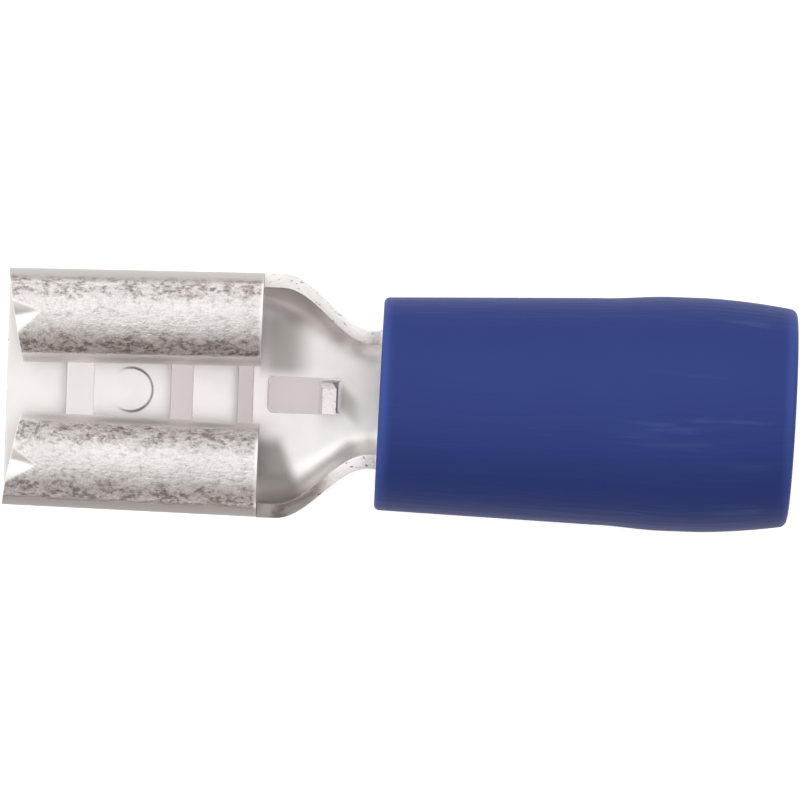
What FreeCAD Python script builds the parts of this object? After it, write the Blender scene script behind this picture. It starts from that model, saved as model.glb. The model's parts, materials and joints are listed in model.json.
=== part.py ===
import FreeCAD, Part
import math
import os

# Insulated female spade terminal, in millimetres.
# It is worked out level: X runs from the mouth to the wire end, Y across, Z up from the
# underside of the base. At the end it is laid down as it rests on a table.

# Strip that the terminal is stamped from
strip_thickness = 0.35
bend_inside_radius = 0.15

# Receptacle
receptacle_length = 6.25
mouth_width = 5.79
receptacle_rear_width = 5.97
receptacle_height = 2.25
roll_radius = 1.145
tab_gap = 0.70
roll_front_setback = 0.43
wing_slit_width = 0.15
wing_slit_floor = 0.75

# Slots across the base, each as its start behind the mouth and its width
base_slots = [(1.47, 0.68), (4.03, 0.55), (5.68, 0.38)]
slot_span = 3.5
punched_edge_round = 0.07

# Detent that snaps into the hole of the tab
detent_place = 3.05
detent_radius = 0.535
detent_height = 0.19
detent_edge_break = 0.05

# Lead-in dents pressed into the crest of each roll at the mouth
dent_length = 0.70
dent_depth = 0.20
dent_steep_reach = 0.27
dent_shallow_reach = 0.53

# Neck: cheeks whose corners open out, then shoulders that narrow to an open trough
cheek_length = 0.45
cheek_height = 1.45
cheek_corner_radius = 1.35
corner_opening_length = 0.90
shoulder_length = 2.25
trough_show = 0.20
trough_wrap = math.radians(10)
closing_length = 1.10
section_step = 0.19

# Window in the neck, and the stop tang that is bent up from it
window_setback = 0.16
window_length = 1.27
window_width = 0.90
window_corner_radius = 0.15
tang_width = 0.78
tang_height = 1.25
tang_lean = math.radians(4)
tang_corner_radius = 0.10

# Wire barrel
barrel_diameter = 3.40
barrel_length = 3.90
barrel_seam = 0.06
grip_groove_count = 4
grip_groove_width = 0.22
grip_groove_depth = 0.06
grip_groove_pitch = 0.75
floor_arc = math.radians(15)

# Vinyl sleeve
sleeve_length = 10.20
sleeve_clearance = 0.02
sleeve_front_radius = 2.58
sleeve_waist_radius = 2.735
sleeve_bulge_radius = 2.855
sleeve_rear_radius = 2.57
sleeve_waist_place = 5.30
sleeve_bulge_start = 6.70
sleeve_bulge_end = 7.80
sleeve_edge_round = 0.20
sleeve_inner_edge_break = 0.10
wire_entry_radius = 2.10
entry_funnel_length = 0.50

# Places along the length that follow from the sizes above
shoulder_start = receptacle_length + cheek_length
shoulder_end = shoulder_start + shoulder_length
sleeve_front = shoulder_end + trough_show
barrel_start = sleeve_front + closing_length
barrel_end = barrel_start + barrel_length
bend_radius = bend_inside_radius + strip_thickness
barrel_radius = barrel_diameter / 2
roll_centre_height = receptacle_height - roll_radius
barrel_wrap = math.pi / 2 - math.asin(barrel_seam / barrel_diameter)
clear = 1.0


def blend(start, end, share):
    return start + (end - start) * share


def ease(x, start, end):
    # Share of the way from start to end, with a level start and a level end.
    share = min(max((x - start) / (end - start), 0.0), 1.0)
    return (1 - math.cos(math.pi * share)) / 2


def prism(points, direction):
    # Solid over a flat outline of straight sides.
    corners = [FreeCAD.Vector(*point) for point in points]
    face = Part.Face(Part.makePolygon(corners + corners[:1]))
    return face.extrude(FreeCAD.Vector(*direction))


def follow(y, z, heading, length, turn):
    # Where a bend of the strip ends, as seen along the terminal.
    if turn == 0:
        return y + length * math.cos(heading), z + length * math.sin(heading)
    radius = length / turn
    y_end = y + radius * (math.sin(heading + turn) - math.sin(heading))
    z_end = z + radius * (math.cos(heading) - math.cos(heading + turn))
    return y_end, z_end


def strip_face(x, bends, depth, side):
    # One face of the strip, from the middle of the base out to its edge. The bends are
    # pairs of length and turn on the outer face, and depth is how far inside it lies.
    y, z, heading = 0.0, depth, 0.0
    edges = []
    for outer_length, turn in bends:
        length = outer_length - depth * turn
        y_half, z_half = follow(y, z, heading, length / 2, turn / 2)
        y_end, z_end = follow(y, z, heading, length, turn)
        start = FreeCAD.Vector(x, side * y, z)
        middle = FreeCAD.Vector(x, side * y_half, z_half)
        end = FreeCAD.Vector(x, side * y_end, z_end)
        if turn == 0:
            edges.append(Part.LineSegment(start, end).toShape())
        else:
            edges.append(Part.Arc(start, middle, end).toShape())
        y, z, heading = y_end, z_end, heading + turn
    return edges, end


def strip_section(x, bends):
    # Closed outline of the bent strip at one place along the terminal.
    outer_right, outer_right_end = strip_face(x, bends, 0.0, 1)
    inner_right, inner_right_end = strip_face(x, bends, strip_thickness, 1)
    inner_left, inner_left_end = strip_face(x, bends, strip_thickness, -1)
    outer_left, outer_left_end = strip_face(x, bends, 0.0, -1)
    right_edge = Part.LineSegment(outer_right_end, inner_right_end).toShape()
    left_edge = Part.LineSegment(inner_left_end, outer_left_end).toShape()
    edges = outer_right + [right_edge] + inner_right[::-1]
    edges += inner_left + [left_edge] + outer_left[::-1]
    return Part.Wire(edges)


def receptacle_bends(width):
    side_height = roll_centre_height - bend_radius
    under = math.asin((roll_centre_height - strip_thickness - tab_gap) / roll_radius)
    curl = math.pi + under
    return [
        (width / 2 - bend_radius, 0),
        (bend_radius * math.pi / 2, math.pi / 2),
        (side_height, 0),
        (roll_radius * curl, curl),
    ]


def neck_bends(x):
    # The strip's section in the neck: a wide channel, then a trough, then a tube.
    opened = ease(x, shoulder_start, shoulder_start + corner_opening_length)
    narrowed = ease(x, shoulder_start, shoulder_end)
    closed = ease(x, sleeve_front, barrel_start)
    half_width = blend(receptacle_rear_width / 2, barrel_radius, narrowed)
    opened_radius = blend(bend_radius, cheek_corner_radius, opened)
    corner_radius = blend(opened_radius, barrel_radius, narrowed)
    floor_turn = floor_arc * narrowed
    floor_length = half_width - corner_radius
    if floor_turn > 0:
        floor_radius = (half_width - corner_radius * (1 - math.sin(floor_turn))) / math.sin(floor_turn)
        floor_length = floor_radius * floor_turn
    wrap = blend(trough_wrap, barrel_wrap, closed)
    wall_turn = wrap * narrowed
    wall_length = blend(cheek_height - opened_radius, barrel_radius * wrap, narrowed)
    corner_turn = math.pi / 2 - floor_turn
    return [
        (floor_length, floor_turn),
        (corner_radius * corner_turn, corner_turn),
        (wall_length, wall_turn),
    ]


def receptacle():
    # The base with both wings rolled over it, drawn out slightly wider towards the neck.
    behind_dents = roll_front_setback / 2 + dent_length + strip_thickness / 4
    sections = []
    for x in (0.0, behind_dents, receptacle_length):
        width = blend(mouth_width, receptacle_rear_width, x / receptacle_length)
        sections.append(strip_section(x, receptacle_bends(width)))
    shape = Part.makeLoft(sections, True, True)
    for start, width in base_slots:
        shape = shape.cut(base_slot(start, width))
    shape = with_detent(shape)
    for side in (1, -1):
        shape = shape.cut(roll_front_cut(side)).cut(crest_dent(side))
    return shape


def roll_front_cut(side):
    # The rolls' front ends slant back from the mouth towards their inner edges.
    outer = mouth_width / 2
    inner = outer - 2 * roll_radius
    slope = roll_front_setback / (outer - inner)
    reach = inner - clear / 2
    floor = strip_thickness + tab_gap / 4
    outline = [
        (0, side * outer, floor),
        (-clear, side * outer, floor),
        (-clear, side * reach, floor),
        (slope * (outer - reach), side * reach, floor),
    ]
    return prism(outline, (0, 0, receptacle_height + clear))


def crest_dent(side):
    # A V-shaped dent that is deepest at the mouth and runs out on the crest. Its steep
    # flank faces the same way on both rolls.
    crest = side * (mouth_width / 2 - roll_radius)
    front = roll_front_setback / 2 - clear
    tip = roll_front_setback / 2 + dent_length
    depth = dent_depth * (tip - front) / dent_length
    widen = (tip - front) / dent_length
    valley = FreeCAD.Vector(front, crest, receptacle_height - depth)
    apex = FreeCAD.Vector(tip, crest, receptacle_height)
    rise = 2.0
    flanks = []
    for reach in (dent_steep_reach, -dent_shallow_reach):
        sag = reach * reach / (2 * roll_radius)
        climb = (dent_depth - sag) * widen * rise
        lip_height = receptacle_height - depth + climb
        flanks.append(FreeCAD.Vector(front, crest + reach * widen * rise, lip_height))
    steep, shallow = flanks
    top = FreeCAD.Vector(front, crest, receptacle_height + depth + clear)
    triangles = [
        (valley, steep, apex), (valley, apex, shallow), (steep, top, apex), (shallow, apex, top),
        (valley, shallow, top), (valley, top, steep),
    ]
    faces = [Part.Face(Part.makePolygon([a, b, c, a])) for a, b, c in triangles]
    solid = Part.Solid(Part.Shell(faces))
    if solid.Volume < 0:
        solid.reverse()
    return solid


def neck_and_barrel():
    cheek_wire = strip_section(receptacle_length, neck_bends(receptacle_length))
    cheeks = Part.Face(cheek_wire).extrude(FreeCAD.Vector(cheek_length, 0, 0))
    count = math.ceil((barrel_start - shoulder_start) / section_step)
    places = [blend(shoulder_start, barrel_start, i / count) for i in range(count + 1)]
    shoulders = Part.makeLoft([strip_section(x, neck_bends(x)) for x in places], True, False)
    barrel_wire = strip_section(barrel_start, neck_bends(barrel_start))
    barrel = Part.Face(barrel_wire).extrude(FreeCAD.Vector(barrel_length, 0, 0))
    middle = barrel_start + barrel_length / 2
    for i in range(grip_groove_count):
        place = middle + (i - (grip_groove_count - 1) / 2) * grip_groove_pitch
        barrel = barrel.cut(grip_groove(place))
    return cheeks.fuse([shoulders, barrel])


def grip_groove(place):
    # V-shaped ring inside the barrel, which bites into the wire when it is crimped.
    bore = barrel_radius - strip_thickness
    low = bore - grip_groove_depth
    high = bore + grip_groove_depth
    along = FreeCAD.Vector(1, 0, 0)
    start = FreeCAD.Vector(place - grip_groove_width, 0, barrel_radius)
    middle = FreeCAD.Vector(place, 0, barrel_radius)
    opening = Part.makeCone(low, high, grip_groove_width, start, along)
    closing = Part.makeCone(high, low, grip_groove_width, middle, along)
    return opening.fuse(closing)


def wing_slit():
    # Narrow slit that frees the rear ends of the rolls from the cheeks of the neck.
    start = receptacle_length - wing_slit_width / 3
    width = receptacle_rear_width + clear
    corner = FreeCAD.Vector(start, -width / 2, wing_slit_floor)
    return Part.makeBox(wing_slit_width, width, receptacle_height + clear, corner)


def base_slot(start, width):
    # Cutter of a punched slot, whose upper edges are rounded by the punch.
    size = punched_edge_round
    turn = size * (1 - math.sqrt(0.5))
    end = start + width
    top = strip_thickness
    over = strip_thickness + tab_gap / 4
    near = -slot_span / 2

    def at(x, z):
        return FreeCAD.Vector(x, near, z)

    path = [
        Part.LineSegment(at(start, -clear), at(start, top - size)),
        Part.Arc(at(start, top - size), at(start - turn, top - turn), at(start - size, top)),
        Part.LineSegment(at(start - size, top), at(start - size, over)),
        Part.LineSegment(at(start - size, over), at(end + size, over)),
        Part.LineSegment(at(end + size, over), at(end + size, top)),
        Part.Arc(at(end + size, top), at(end + turn, top - turn), at(end, top - size)),
        Part.LineSegment(at(end, top - size), at(end, -clear)),
        Part.LineSegment(at(end, -clear), at(start, -clear)),
    ]
    outline = Part.Wire([piece.toShape() for piece in path])
    return Part.Face(outline).extrude(FreeCAD.Vector(0, slot_span, 0))


def detent_disc(drop, shrink):
    # A low disc that is tipped so that it rises from the base towards the neck.
    tip = math.asin(detent_height / (2 * detent_radius))
    radius = detent_radius - shrink
    base = FreeCAD.Vector(detent_place, 0, -clear)
    disc = Part.makeCylinder(radius, clear + strip_thickness, base)
    rim = [edge for edge in disc.Edges if edge.BoundBox.ZMin > strip_thickness - 1e-6]
    disc = disc.makeChamfer(detent_edge_break, rim)
    hinge = FreeCAD.Vector(detent_place - detent_radius, 0, strip_thickness)
    disc.rotate(hinge, FreeCAD.Vector(0, 1, 0), -math.degrees(tip))
    disc.translate(FreeCAD.Vector(0, 0, -drop))
    return disc


def with_detent(shape):
    # The disc is half sheared out of the base, so its hollow shows underneath.
    reach = clear + detent_radius
    above = Part.makeBox(
        2 * reach, 2 * reach, 2 * clear, FreeCAD.Vector(detent_place - reach, -reach, strip_thickness / 2))
    raised = detent_disc(0.0, 0.0).common(above)
    hollow = detent_disc(strip_thickness, strip_thickness / 4)
    return shape.fuse(raised).cut(hollow)


def rounded_outline(x_start, x_end, half_width, corner_radius, z):
    low = FreeCAD.Vector(x_start, -half_width, z)
    plate = Part.makeBox(x_end - x_start, 2 * half_width, clear, low)
    upright = [edge for edge in plate.Edges if edge.BoundBox.ZLength > clear / 2]
    plate = plate.makeFillet(corner_radius, upright)
    floor = min(plate.Faces, key=lambda face: face.CenterOfMass.z)
    return floor.OuterWire


def neck_window():
    start = receptacle_length + window_setback
    end = start + window_length + bend_radius / 2
    half = window_width / 2
    corner = window_corner_radius
    edge = punched_edge_round
    low = strip_thickness - edge
    inner = rounded_outline(start, end, half, corner, low)
    outer = rounded_outline(start - edge, end + edge, half + edge, corner + edge, strip_thickness)
    flare = Part.makeLoft([inner, outer], True, True)
    through = Part.Face(inner).extrude(FreeCAD.Vector(0, 0, -low - clear))
    over = Part.Face(outer).extrude(FreeCAD.Vector(0, 0, edge))
    return through.fuse([flare, over])


def stop_tang():
    # The tongue from the window, bent up behind it to stop the tab. Its foot is flat and
    # lies a little above the underside of the neck, which is already curved there.
    face = receptacle_length + window_setback + window_length
    low = strip_thickness / 6
    high = low + strip_thickness
    inside = bend_inside_radius
    outside = bend_radius
    bend_height = low + outside
    lean = math.tan(tang_lean) * (tang_height - bend_height)
    half = tang_width / 2
    root = face + outside + inside

    def at(x, z):
        return FreeCAD.Vector(x, -half, z)

    def around(radius):
        share = math.sqrt(0.5) * radius
        return at(face + outside - share, bend_height - share)

    front_foot = at(face, bend_height)
    back_foot = at(face + strip_thickness, bend_height)
    path = [
        Part.LineSegment(at(root, low), at(face + outside, low)),
        Part.Arc(at(face + outside, low), around(outside), front_foot),
        Part.LineSegment(front_foot, at(face + lean, tang_height)),
        Part.LineSegment(at(face + lean, tang_height), at(face + lean + strip_thickness, tang_height)),
        Part.LineSegment(at(face + lean + strip_thickness, tang_height), back_foot),
        Part.Arc(back_foot, around(inside), at(face + outside, high)),
        Part.LineSegment(at(face + outside, high), at(root, high)),
        Part.LineSegment(at(root, high), at(root, low)),
    ]
    outline = Part.Wire([piece.toShape() for piece in path])
    tang = Part.Face(outline).extrude(FreeCAD.Vector(0, tang_width, 0))
    top = [
        edge for edge in tang.Edges
        if edge.BoundBox.ZMin > tang_height - 1e-6 and edge.BoundBox.YLength < 1e-6
    ]
    return tang.makeFillet(tang_corner_radius, top)


def terminal():
    shape = receptacle().fuse(neck_and_barrel())
    shape = shape.cut(wing_slit())
    shape = shape.cut(neck_window()).fuse(stop_tang())
    return shape.removeSplitter()


def sleeve():
    # Turned about the barrel's axis, with both ends rounded outside and eased inside.
    def at(along, radius):
        return FreeCAD.Vector(sleeve_front + along, 0, barrel_radius + radius)

    def round_middle(end, radius, along_way):
        # Point halfway round the outer edge at one end of the sleeve.
        inset = edge * (1 - math.sqrt(0.5))
        return at(end - along_way * inset, radius - inset)

    rear = sleeve_length
    edge = sleeve_edge_round
    eased = sleeve_inner_edge_break
    bore_radius = barrel_radius + sleeve_clearance
    funnel_start = barrel_end - sleeve_front
    funnel_end = funnel_start + entry_funnel_length
    front_rim = at(0, sleeve_front_radius - edge)
    front_top = at(edge, sleeve_front_radius)
    waist = at(sleeve_waist_place, sleeve_waist_radius)
    rear_top = at(rear - edge, sleeve_rear_radius)
    rear_rim = at(rear, sleeve_rear_radius - edge)
    bulge = Part.BSplineCurve()
    bulge.interpolate([
        waist,
        at(sleeve_bulge_start, sleeve_bulge_radius),
        at(sleeve_bulge_end, sleeve_bulge_radius),
        rear_top,
    ])
    inside = [
        rear_rim,
        at(rear, wire_entry_radius + eased),
        at(rear - eased, wire_entry_radius),
        at(funnel_end, wire_entry_radius),
        at(funnel_start, bore_radius),
        at(eased, bore_radius),
        at(0, bore_radius + eased),
        front_rim,
    ]
    path = [
        Part.Arc(front_rim, round_middle(0, sleeve_front_radius, -1), front_top),
        Part.LineSegment(front_top, waist),
        bulge,
        Part.Arc(rear_top, round_middle(rear, sleeve_rear_radius, 1), rear_rim),
    ]
    path += [Part.LineSegment(a, b) for a, b in zip(inside, inside[1:])]
    outline = Part.Wire([piece.toShape() for piece in path])
    axis_point = FreeCAD.Vector(0, 0, barrel_radius)
    return Part.Face(outline).revolve(axis_point, FreeCAD.Vector(1, 0, 0), 360)


def rest_tilt():
    # The part rests on the front edge of its base and on the sleeve's rounded front rim.
    along = sleeve_front + sleeve_edge_round
    down = sleeve_front_radius - sleeve_edge_round - barrel_radius
    return math.atan2(down, along) + math.asin(sleeve_edge_round / math.hypot(along, down))


def lay_down(shapes):
    # Tilted to rest, with the origin under the middle of the whole part.
    laid = {}
    for name, shape in shapes.items():
        laid[name] = shape.copy()
        laid[name].rotate(FreeCAD.Vector(0, 0, 0), FreeCAD.Vector(0, 1, 0), -math.degrees(rest_tilt()))
    whole = Part.makeCompound(list(laid.values())).optimalBoundingBox(True, False)
    shift = FreeCAD.Vector(-whole.Center.x, -whole.Center.y, -whole.ZMin)
    for shape in laid.values():
        shape.translate(shift)
    print("tilt", round(math.degrees(rest_tilt()), 3), "shift", [round(v, 4) for v in shift])
    return laid


os.makedirs("parts", exist_ok=True)
parts = lay_down({"terminal": terminal(), "insulating_sleeve": sleeve()})
for name, shape in parts.items():
    print(name, "solids", len(shape.Solids), "valid", shape.isValid(), "volume", round(shape.Volume, 3))
    shape.exportStep("parts/" + name + ".step")
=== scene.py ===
import json
import math
import bmesh
import bpy
from mathutils import Matrix, Vector, noise


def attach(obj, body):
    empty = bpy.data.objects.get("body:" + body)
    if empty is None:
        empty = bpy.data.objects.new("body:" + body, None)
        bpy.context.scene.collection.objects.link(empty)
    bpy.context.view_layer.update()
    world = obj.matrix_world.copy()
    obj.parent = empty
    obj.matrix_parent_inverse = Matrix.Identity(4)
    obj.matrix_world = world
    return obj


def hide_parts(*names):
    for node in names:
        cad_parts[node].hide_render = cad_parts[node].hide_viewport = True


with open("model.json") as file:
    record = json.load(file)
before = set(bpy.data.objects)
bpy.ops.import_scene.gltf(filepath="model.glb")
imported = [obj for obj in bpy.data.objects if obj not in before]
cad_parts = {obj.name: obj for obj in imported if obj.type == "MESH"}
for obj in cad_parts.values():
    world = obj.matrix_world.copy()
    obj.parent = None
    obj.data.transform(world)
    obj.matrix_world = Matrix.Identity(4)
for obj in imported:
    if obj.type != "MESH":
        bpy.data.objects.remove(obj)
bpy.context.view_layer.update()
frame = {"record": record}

scene = bpy.context.scene
print("frame loaded")

# The terminal is worked out level, in millimetres: x from the mouth to the wire end, y across,
# z up from the underside of the base. levelToRest then lays it down as the frame has it.
mm = 0.001
wireEntry = next(m for m in frame["record"]["mounts"] if m["name"] == "wire_entry")
wireEntryLevel = Vector((17.0, 0.0, 1.70))
tilt = math.atan2(wireEntry["axis"][2], wireEntry["axis"][0])
turnToRest = Matrix.Rotation(-tilt, 4, "Y")
restShift = Vector(wireEntry["pos_m"]) - (turnToRest @ (wireEntryLevel * mm))
levelToRest = Matrix.Translation(restShift) @ turnToRest @ Matrix.Scale(mm, 4)


# Camera: straight down on the level terminal, turned a little clockwise

camera = {
    "target": Vector((9.655, 0.015, 1.70)),
    "distance": 230.0,
    "frameWidth": 19.5,
    "turn": math.radians(2.06),
    "sideways": math.radians(1.6),
    "sensor": 36.0,
    "clip": (0.001, 10.0),
}


def addCamera():
    data = bpy.data.cameras.new("camera")
    eye = bpy.data.objects.new("camera", data)
    scene.collection.objects.link(eye)
    lean = turnToRest.to_3x3() @ Matrix.Rotation(-camera["sideways"], 3, "X")
    along = lean @ Vector((1, 0, 0))
    out = lean @ Vector((0, 0, 1))
    across = lean @ Vector((0, 1, 0))
    turn = camera["turn"]
    right = math.cos(turn) * along + math.sin(turn) * across
    top = -math.sin(turn) * along + math.cos(turn) * across
    pose = Matrix((right, top, out)).transposed().to_4x4()
    pose.translation = levelToRest @ camera["target"] + out * camera["distance"] * mm
    eye.matrix_world = pose
    data.sensor_width = camera["sensor"]
    data.lens = camera["sensor"] * camera["distance"] / camera["frameWidth"]
    data.clip_start, data.clip_end = camera["clip"]
    scene.camera = eye
    return right, top, out


viewRight, viewTop, viewOut = addCamera()
scene.view_settings.view_transform = "Standard"
print("camera placed")


# Lights and floor

light = {
    "skyWay": (-0.28, 0.54, 0.79),
    "skyColors": (
        (0.0, (0.12, 0.107, 0.102)),
        (0.34, (0.24, 0.215, 0.205)),
        (0.48, (0.37, 0.335, 0.32)),
        (0.60, (0.60, 0.56, 0.545)),
        (0.74, (0.86, 0.83, 0.815)),
        (0.86, (1.0, 0.98, 0.97)),
        (1.0, (1.10, 1.085, 1.075)),
    ),
    "keyPower": 0.010,
    "keySize": 110.0,
    "keyDistance": 130.0,
    "keyWay": (-0.42, 0.62, 0.66),
    # The floor's glow, and the shadow painted on it below the base
    "floorGlow": 0.80,
    "floorShadowShare": 0.56,
    "paintedShadeDepth": 0.47,
    "paintedShadeTint": (1.0, 0.90, 0.89),
    "shadeSides": (2.6, 1.8),
    "shadeFront": (-13.5, -3.0),
    "shadeRear": (-1.1, -1.9),
    "floorColor": (0.08, 0.08, 0.08),
    "floorSize": 3000.0,
}


def viewWay(way):
    # A direction given as its shares of right, up and towards the camera
    return (way[0] * viewRight + way[1] * viewTop + way[2] * viewOut).normalized()


def addKeyLamp():
    data = bpy.data.lights.new("key", "AREA")
    data.shape = "DISK"
    data.size = light["keySize"] * mm
    data.energy = light["keyPower"]
    lamp = bpy.data.objects.new("key", data)
    scene.collection.objects.link(lamp)
    direction = viewWay(light["keyWay"])
    lamp.location = levelToRest @ camera["target"] + direction * light["keyDistance"] * mm
    lamp.rotation_mode = "QUATERNION"
    lamp.rotation_quaternion = direction.to_track_quat("Z", "Y")


def addSky():
    # Soft light from above, brightest on the far side and towards the mouth
    world = bpy.data.worlds.new("studio")
    scene.world = world
    world.use_nodes = True
    nodes, links = world.node_tree.nodes, world.node_tree.links
    nodes.clear()
    coords = nodes.new("ShaderNodeTexCoord")
    facing = nodes.new("ShaderNodeVectorMath")
    facing.operation = "DOT_PRODUCT"
    facing.inputs[1].default_value = viewWay(light["skyWay"])
    place = nodes.new("ShaderNodeMath")
    place.operation = "MULTIPLY_ADD"
    place.inputs[1].default_value = 0.5
    place.inputs[2].default_value = 0.5
    ramp = nodes.new("ShaderNodeValToRGB")
    steps = light["skyColors"]
    ramp.color_ramp.elements[0].color = (*steps[0][1], 1)
    ramp.color_ramp.elements[1].color = (*steps[-1][1], 1)
    for position, color in steps[1:-1]:
        ramp.color_ramp.elements.new(position).color = (*color, 1)
    glow = nodes.new("ShaderNodeBackground")
    out = nodes.new("ShaderNodeOutputWorld")
    links.new(coords.outputs["Generated"], facing.inputs[0])
    links.new(facing.outputs["Value"], place.inputs[0])
    links.new(place.outputs[0], ramp.inputs["Fac"])
    links.new(ramp.outputs["Color"], glow.inputs["Color"])
    links.new(glow.outputs[0], out.inputs["Surface"])


def smoothStep(nodes, links, value, limits):
    # 0 at the first limit, 1 at the second
    node = nodes.new("ShaderNodeMapRange")
    node.interpolation_type = "SMOOTHSTEP"
    node.inputs["From Min"].default_value, node.inputs["From Max"].default_value = limits
    links.new(value, node.inputs["Value"])
    return node.outputs["Result"]


def reckon(nodes, links, operation, a, b=0.0):
    node = nodes.new("ShaderNodeMath")
    node.operation = operation
    for socket, value in zip(node.inputs, (a, b)):
        if isinstance(value, (int, float)):
            socket.default_value = value
        else:
            links.new(value, socket)
    return node.outputs[0]


def mixColors(nodes, links, factor, a, b):
    node = nodes.new("ShaderNodeMix")
    node.data_type = "RGBA"
    links.new(factor, node.inputs["Factor"])
    for key, value in (("A", a), ("B", b)):
        if isinstance(value, tuple):
            node.inputs[key].default_value = (*value, 1)
        else:
            links.new(value, node.inputs[key])
    return node.outputs["Result"]


def paintedShadeUnderBase(nodes, links):
    # 1 where a shadow is painted on the floor below the base, 0 on the open floor
    spot = nodes.new("ShaderNodeSeparateXYZ")
    links.new(nodes.new("ShaderNodeTexCoord").outputs["Object"], spot.inputs[0])
    along = spot.outputs["X"]
    sideways = reckon(nodes, links, "ABSOLUTE", spot.outputs["Y"])
    ranges = ((sideways, "shadeSides"), (along, "shadeFront"), (along, "shadeRear"))
    shares = []
    for value, key in ranges:
        shares.append(smoothStep(nodes, links, value, [limit * mm for limit in light[key]]))
    shaded = reckon(nodes, links, "MULTIPLY", shares[0], shares[1])
    return reckon(nodes, links, "MULTIPLY", shaded, shares[2])


def plainDiffuse(nodes, color):
    node = nodes.new("ShaderNodeBsdfDiffuse")
    node.inputs["Color"].default_value = (*color, 1)
    return node.outputs[0]


def paleFloor():
    # The camera and reflections see a white floor that keeps shadows, all other light a plain one
    material = bpy.data.materials.new("pale_floor")
    material.use_nodes = True
    nodes, links = material.node_tree.nodes, material.node_tree.links
    nodes.clear()
    path = nodes.new("ShaderNodeLightPath")
    seen = reckon(nodes, links, "MAXIMUM", path.outputs["Is Camera Ray"], path.outputs["Is Glossy Ray"])
    seen = reckon(nodes, links, "MAXIMUM", seen, path.outputs["Is Transmission Ray"])
    # It glows less, with a warmer tint, under the base: a painted shadow, which the slots show
    under = paintedShadeUnderBase(nodes, links)
    strength = reckon(nodes, links, "MULTIPLY", under, light["paintedShadeDepth"])
    strength = reckon(nodes, links, "SUBTRACT", light["floorGlow"], strength)
    tint = mixColors(nodes, links, under, (1.0, 1.0, 1.0), light["paintedShadeTint"])
    glow = nodes.new("ShaderNodeEmission")
    links.new(strength, glow.inputs["Strength"])
    links.new(tint, glow.inputs["Color"])
    white = nodes.new("ShaderNodeAddShader")
    links.new(plainDiffuse(nodes, (light["floorShadowShare"],) * 3), white.inputs[0])
    links.new(glow.outputs[0], white.inputs[1])
    mix = nodes.new("ShaderNodeMixShader")
    links.new(seen, mix.inputs["Fac"])
    links.new(plainDiffuse(nodes, light["floorColor"]), mix.inputs[1])
    links.new(white.outputs[0], mix.inputs[2])
    out = nodes.new("ShaderNodeOutputMaterial")
    links.new(mix.outputs[0], out.inputs["Surface"])
    return material


def addFloor():
    bm = bmesh.new()
    bmesh.ops.create_grid(bm, x_segments=1, y_segments=1, size=light["floorSize"] * mm / 2)
    mesh = bpy.data.meshes.new("floor")
    bm.to_mesh(mesh)
    bm.free()
    floor = bpy.data.objects.new("floor", mesh)
    scene.collection.objects.link(floor)
    mesh.materials.append(paleFloor())


addKeyLamp()
addSky()
addFloor()
print("lights and floor placed")


# Terminal: a flat strip is stamped, then every point of it is bent into place

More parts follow.
